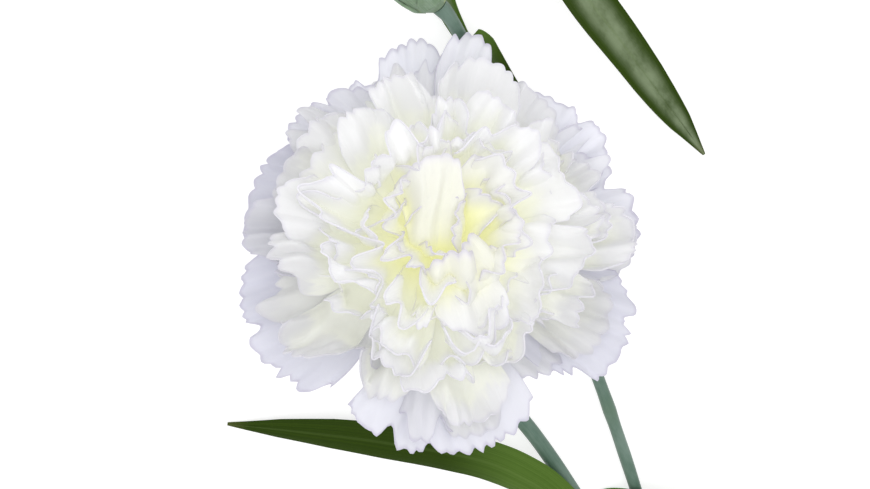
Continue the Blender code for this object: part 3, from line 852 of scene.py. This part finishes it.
def build_stems(finish):
    """The main stem and the side stem that leaves it at the fork."""
    path = smooth_path(STEM_LINE + (tuple(neck_path(1)[0]),))[:-1] + neck_path(12)
    main = build_one_stem("stem", path, STEM_RADIUS, STEM_JOINTS, STEM_FLARE)
    end = BUD_BASE - BUD_AXIS * STEM_GAP
    path = smooth_path(SIDE_STEM_LINE + (tuple(end - BUD_AXIS * SIDE_STEM_END), tuple(end)))
    side = build_one_stem("side_stem", path, SIDE_STEM_RADIUS, SIDE_STEM_JOINTS, SIDE_STEM_FLARE)
    piece = join("stem_dressed", [main, side])
    smooth(piece)
    dress(piece, "stem_green", finish, "stem")


# ---------------------------------------------------------------- calyx and bud


def build_calyx(name, base, axis, length, radius, foot_radius, finish, node):
    """A tube with pointed teeth, ribbed lengthwise, and two pairs of scales round its foot."""
    turn = turn_to(axis)
    stations = ((0.0, foot_radius), (0.04, radius * 0.56), (0.13, radius * 0.78), (0.28, radius * 0.93),
                (0.5, radius), (0.8, radius * 1.02), (1.0, radius), (1.15, radius * 1.13))

    def radius_at(t):
        for (t0, r0), (t1, r1) in zip(stations, stations[1:]):
            if t <= t1:
                part = (t - t0) / (t1 - t0)
                return blend(r0, r1, smoothstep(0, 1, part) * 0.5 + part * 0.5)
        return stations[-1][1]

    def shape(x, y, z):
        angle = math.atan2(y, x)
        tooth = abs(((angle * CALYX_TEETH / (2 * math.pi)) + 0.5) % 1.0 - 0.5) * 2
        top = 1.0 + (CALYX_TOOTH * (1 - tooth ** 1.3) - 0.6) / length
        t = z * top
        r = radius_at(t) * math.hypot(x, y)
        r += 0.09 * math.cos(CALYX_RIBS * angle) * smoothstep(0.1, 0.4, t)
        r -= 0.35 * tooth ** 6 * smoothstep(0.8, 1.0, t)
        return base + turn @ Vector((r * math.cos(angle), r * math.sin(angle), t * length))

    rod = blank_rod(name, 100, 40)
    start_edit(rod)
    for face in rod.data.polygons:
        face.select = face.center.z > 0.9999
    bpy.ops.object.mode_set(mode="EDIT")
    bpy.ops.mesh.delete(type="ONLY_FACE")
    bpy.ops.mesh.select_all(action="SELECT")
    bpy.ops.mesh.delete_loose()
    bpy.ops.object.mode_set(mode="OBJECT")
    reach = [vert.co.z for vert in rod.data.vertices]
    reshape(rod, shape)
    note(rod, "reach", reach)
    thicken(rod, CALYX_WALL, -1.0)
    scales = [build_scale(f"{name}_scale_{i}", base, turn, length, radius, i) for i in range(SCALES)]
    piece = join(name, [rod, *scales])
    smooth(piece)
    dress(piece, "calyx_green", finish, node)


def build_scale(name, base, turn, length, radius, i):
    """One pointed scale hugging the foot of a calyx."""
    stations = ((0.54, 0.9 / length, 0.7), (0.86, 0.15, 1.0), (0.99, 0.27, 0.8), (1.07, 0.38, 0.05))

    def shape(x, y, _):
        where = (y + 1) / 2 * (len(stations) - 1)
        j = min(int(where), len(stations) - 2)
        share = smoothstep(0, 1, where - j)
        out, height, width = (blend(a, b, share) for a, b in zip(stations[j], stations[j + 1]))
        angle = i * 2 * math.pi / SCALES + 0.3 + x * 0.62 * width
        out += 0.012 * (1 - abs(x)) + (0.02 if i % 2 else 0.0)
        return base + turn @ Vector((radius * out * math.cos(angle), radius * out * math.sin(angle),
                                     length * height))

    scale = blank_sheet(name, 16, 18)
    reach = [0.35 + (vert.co.y + 1) / 3 for vert in scale.data.vertices]
    reshape(scale, shape)
    note(scale, "reach", reach)
    thicken(scale, SCALE_THICKNESS)
    return scale


def build_bud_petals(finish):
    """The furled tip of the bud: petals rolled round each other in a pointed spiral."""
    turn = turn_to(BUD_AXIS)

    def shape(x, y, z):
        inner = math.hypot(x, y)
        angle = math.atan2(y, x)
        spiral = (angle * 5 / (2 * math.pi) - 2.1 * z) % 1.0
        fold = spiral ** 0.6 * (1 - smoothstep(0.88, 1.0, spiral))
        radius = inner * BUD_TIP_RADIUS * (1 - 0.72 * z ** 2.2) * (0.93 + (0.05 + 0.14 * z) * fold)
        height = BUD_CALYX_LENGTH - BUD_TIP_SUNK + STEM_GAP + z * BUD_TIP_LENGTH + 0.9 * z * (1 - inner)
        height += 0.35 * z ** 4 * math.sin(17 * angle) * inner
        return BUD_BASE + turn @ Vector((radius * math.cos(angle), radius * math.sin(angle), height))

    rod = blank_rod("bud_tip", 120, 36)
    reach = [vert.co.z * 0.6 + 0.3 for vert in rod.data.vertices]
    reshape(rod, shape)
    note(rod, "reach", reach)
    note_evenly(rod, depth=0.55, tone=0.5, below=0.0, away=25.0, edge=0.0, shade=0.0)
    smooth(rod)
    dress(rod, "petal_white", finish, "bud_petals")


# ---------------------------------------------------------------- leaves


def pick(rows, v):
    """What evenly spaced rows hold at v, from 0 at the first to 1 at the last."""
    where = v * (len(rows) - 1)
    i = min(int(where), len(rows) - 2)
    return blend(rows[i], rows[i + 1], where - i)


def build_leaf(node, line, faces, width, root_radius, seed, finish, wax=0.5, neck=(1, 1, 1, 1)):
    """A strap leaf along a line: its root hugs the stem, its middle is a shallow trough with a sunk
    midrib, and it narrows to a long point. faces are the directions that its upper side looks in,
    wax sets its grey band of wax and painted sheen, and neck narrows it at the first four steps above its
    root."""
    path = smooth_path(line, 5)
    faces = [Vector(face).normalized() for face in faces]
    root_width = 1.25 * root_radius
    widths = [root_width, root_width, width * 0.42, width * 0.47, width * 0.5, width * 0.5, width * 0.48,
              width * 0.43, width * 0.35, width * 0.22, 0.25]
    widths[1:5] = [half * part for half, part in zip(widths[1:5], neck)]
    curls = [root_radius, root_radius * 1.15, 6.0, 10.0, 14.0, 15.0, 14.0, 12.0, 9.0, 6.0, 4.0]

    def shape(x, y, _):
        v = (y + 1) / 2
        middle = pick(path, v)
        along = (pick(path, min(v + 0.02, 1)) - pick(path, max(v - 0.02, 0))).normalized()
        face = pick(faces, v)
        face = (face - face.dot(along) * along).normalized()
        side = along.cross(face)
        half_width, curl = pick(widths, v), pick(curls, v)
        angle = x * half_width / curl
        lift = curl * (1 - math.cos(angle))
        lift = lift + MIDRIB_DEPTH * smoothstep(0.0, 0.10, abs(x)) - MIDRIB_DEPTH
        lift += 0.5 * noise.noise(Vector((v * 7, x * 0.6, seed))) * x * x * smoothstep(0.15, 0.4, v)
        return middle + side * (curl * math.sin(angle)) + face * lift

    sheet = blank_sheet(node + "_dressed", *LEAF_GRID)
    flat = [tuple(vert.co) for vert in sheet.data.vertices]
    reshape(sheet, shape)
    note(sheet, "across", [x for x, _, _ in flat])
    note(sheet, "reach", [(y + 1) / 2 for _, y, _ in flat])
    note_evenly(sheet, wax=wax)
    group = sheet.vertex_groups.new(name="body")
    for i, (x, y, _) in enumerate(flat):
        group.add([i], (1 - abs(x) ** 2.5) * (1 - smoothstep(0.8, 1, (y + 1) / 2) * 0.7), "REPLACE")
    thicken(sheet, LEAF_THICKNESS, 0.0, "body", LEAF_EDGE)
    sheet.vertex_groups.clear()
    smooth(sheet)
    dress(sheet, "leaf_green", finish, node)


def root(centre, away, radius):
    """Where a leaf's midrib leaves the stem, on its side away from the stem's middle line."""
    return Vector(centre) + Vector(away).normalized() * radius


def build_upper_leaves(finish):
    """The pair near the bloom, which spreads to both sides of the stem."""
    start = root((-95, 4.5, 4.0), (0, 0.6, 0.8), STEM_ROOT)
    line = (start, start + Vector((6, 0.1, 0.1)), (-80, 8.0, 7.0), (-71.6, 11, 7.0),
            (-60.8, 17.2, 6.6), (-45.2, 31.5, 5.0), (-34, 43.5, 3.0), (-24.5, 54.9, 0.4))
    faces = ((0, -0.6, -0.8), (0, -0.6, -0.8), (0, -0.3, -0.9), DOWN, DOWN, DOWN)
    build_leaf("leaf_upper_left", line, faces, 9.6, STEM_ROOT, 1.5, finish, wax=0.0)

    start = root((-97, 4.5, 4.0), (0, -0.6, -0.8), STEM_ROOT)
    line = (start, start + Vector((3.0, -0.3, -0.1)), (-92.9, 0.5, 2.5), (-94.4, -3, 4.8),
            (-99, -9.4, 6.6), (-107.5, -16.3, 7.0), (-118, -24, 4.8), (-131, -32, 1.05))
    faces = ((0, 0.6, 0.8), (0.5, 0.4, 0.8), (0.7, 0, 0.7), (0.3, 0, 0.9), UP, UP, UP)
    build_leaf("leaf_upper_right", line, faces, 9.0, STEM_ROOT, 2.5, finish)


def build_fork_leaves(finish):
    """The pair at the fork of the stems."""
    start = root((-131, 4.0, 3.9), (0, 0.8, -0.6), STEM_ROOT)
    line = (start, start + Vector((5, 0.2, -0.1)), (-117, 10.5, 1.4), (-106, 19.5, 1.2),
            (-95, 30.5, 1.0), (-86, 42, 0.4))
    faces = ((0, -0.8, 0.6), (0, -0.5, 0.8), UP, UP, UP)
    build_leaf("leaf_fork_left", line, faces, 8.6, STEM_ROOT, 3.5, finish)

    clear_root = STEM_ROOT + 0.5
    start = root((-127, 2.6, 3.9), (0, -0.8, 0.6), clear_root)
    line = (start, (-121.8, -1.6, 5.6), (-119.6, -4.6, 8.4), (-123, -8.5, 10.6),
            (-131, -13.5, 10.0), (-142, -19, 6.6), (-156, -25, 0.4))
    faces = ((0, 0.8, -0.6), (0.3, 0.7, -0.3), (0.8, 0.2, 0.3), (0.5, 0, 0.9), UP, UP, UP)
    build_leaf("leaf_fork_right", line, faces, 8.6, clear_root, 4.5, finish)


def build_bud_leaves(finish):
    """The pair just below the bud: one folds back over the stem, the other lies beside it."""
    start = root((12.5, -25.9, 3.2), (0, -0.3, 0.95), SIDE_ROOT)
    line = (start, start + Vector((4.6, -0.4, 0.6)), (20.0, -27.3, 7.2), (21.6, -27.2, 8.5),
            (19.8, -27.5, 9.5), (11, -27.4, 9.3), (0, -28.3, 7.2), (-14, -29.8, 3.8), (-30, -31, 0.4))
    faces = ((0, 0.3, -0.95), (0.1, 0.3, -0.9), (1, 0, 0.1), (0.3, 0, 0.9), UP, UP, UP, UP)
    build_leaf("leaf_bud_upper", line, faces, 7.2, SIDE_ROOT, 5.5, finish, wax=0.3,
               neck=(0.65, 0.65, 0.6, 0.75))

    start = root((12.5, -25.9, 3.2), (0, 0.3, -0.95), SIDE_ROOT)
    line = (start, (18.5, -26.5, 0.8), (27, -27.3, 0.5), (35.5, -29.8, 1.2), (40, -34.5, 3.2),
            (40, -40.5, 4.6), (34.5, -46.3, 5.6), (25, -49.2, 6.4), (14.4, -50.6, 6.5),
            (0.8, -52.4, 5.6), (-14.1, -53.9, 4.0), (-24, -55, 2.6), (-33.5, -56, 0.4))
    faces = ((0, -0.3, 0.95), UP, (0, 0.3, 0.9), (0.7, 0.3, 0.6), (0.4, -0.7, 0.6), (0, -0.5, 0.85),
             (0, -0.2, 1), UP, UP)
    build_leaf("leaf_bud_lower", line, faces, 11.0, SIDE_ROOT, 6.5, finish, wax=1.0,
               neck=(0.5, 0.5, 1, 1))


# ---------------------------------------------------------------- stage


def build_camera():
    """Looks down on the bloom from beyond the flowers, turned so that the stems leave below."""
    back = Vector((math.cos(CAMERA_RISE), 0, math.sin(CAMERA_RISE)))
    side = Vector((0, 1, 0))
    top = back.cross(side)
    right = side * -math.cos(CAMERA_ROLL) + top * math.sin(CAMERA_ROLL)
    up = back.cross(right)
    centre = BLOOM_MIDDLE + back * CAMERA_DISTANCE - right * CAMERA_LEFT + up * CAMERA_UP
    turn = Matrix((right, up, back)).transposed()
    bpy.ops.object.camera_add()
    camera = bpy.context.object
    camera.matrix_world = Matrix.Translation(place(centre)) @ turn.to_4x4()
    camera.data.lens = CAMERA_LENS
    bpy.context.scene.camera = camera
    return right, up, back


def build_light(name, where, target, size, power):
    """A square soft light that faces its target."""
    bpy.ops.object.light_add(type="AREA", location=place(where))
    light = bpy.context.object
    light.name = name
    light.data.size = size
    light.data.energy = power
    light.rotation_euler = (place(where) - place(target)).to_track_quat("Z", "Y").to_euler()


def build_floor():
    """A plain white floor that shines a little, so that it looks as white as what is round it."""
    deselect()
    bpy.ops.mesh.primitive_plane_add(size=FLOOR_SIZE, location=(0, 0, 0))
    floor = bpy.context.object
    floor.name = "floor"
    f = Finish("white_floor")
    skin = f.node("ShaderNodeBsdfPrincipled", {},
                  {"Base Color": FLOOR_GREY, "Roughness": 0.9,
                   "Emission Color": WHITE, "Emission Strength": FLOOR_GLOW})
    floor.data.materials.append(f.done(skin))


def build_stage(right, up, back):
    """The floor, even white surroundings and one large soft light near the camera."""
    build_floor()
    world = bpy.data.worlds.new("white_room")
    bpy.context.scene.world = world
    world.use_nodes = True
    background = world.node_tree.nodes["Background"]
    background.inputs["Color"].default_value = WHITE
    background.inputs["Strength"].default_value = ROOM_BRIGHTNESS
    key = BLOOM_MIDDLE + back * KEY_BACK - up * KEY_DOWN + right * KEY_RIGHT
    build_light("key_light", key, BLOOM_MIDDLE, KEY_SIZE, KEY_POWER)
    bpy.context.scene.view_settings.view_transform = "Standard"


petal_white = petal_finish()
calyx_green = calyx_finish()
leaf_green = leaf_finish()
build_bloom(petal_white)
build_calyx("calyx_dressed", CALYX_BASE, BLOOM_AXIS, CALYX_LENGTH, CALYX_RADIUS,
            STEM_RADIUS * 1.4, calyx_green, "calyx")
build_calyx("bud_calyx_dressed", BUD_BASE, BUD_AXIS, BUD_CALYX_LENGTH, BUD_CALYX_RADIUS,
            SIDE_STEM_RADIUS * 1.35, calyx_green, "bud_calyx")
build_bud_petals(petal_white)
build_upper_leaves(leaf_green)
build_fork_leaves(leaf_green)
build_bud_leaves(leaf_green)
build_stems(stem_finish())
build_stage(*build_camera())
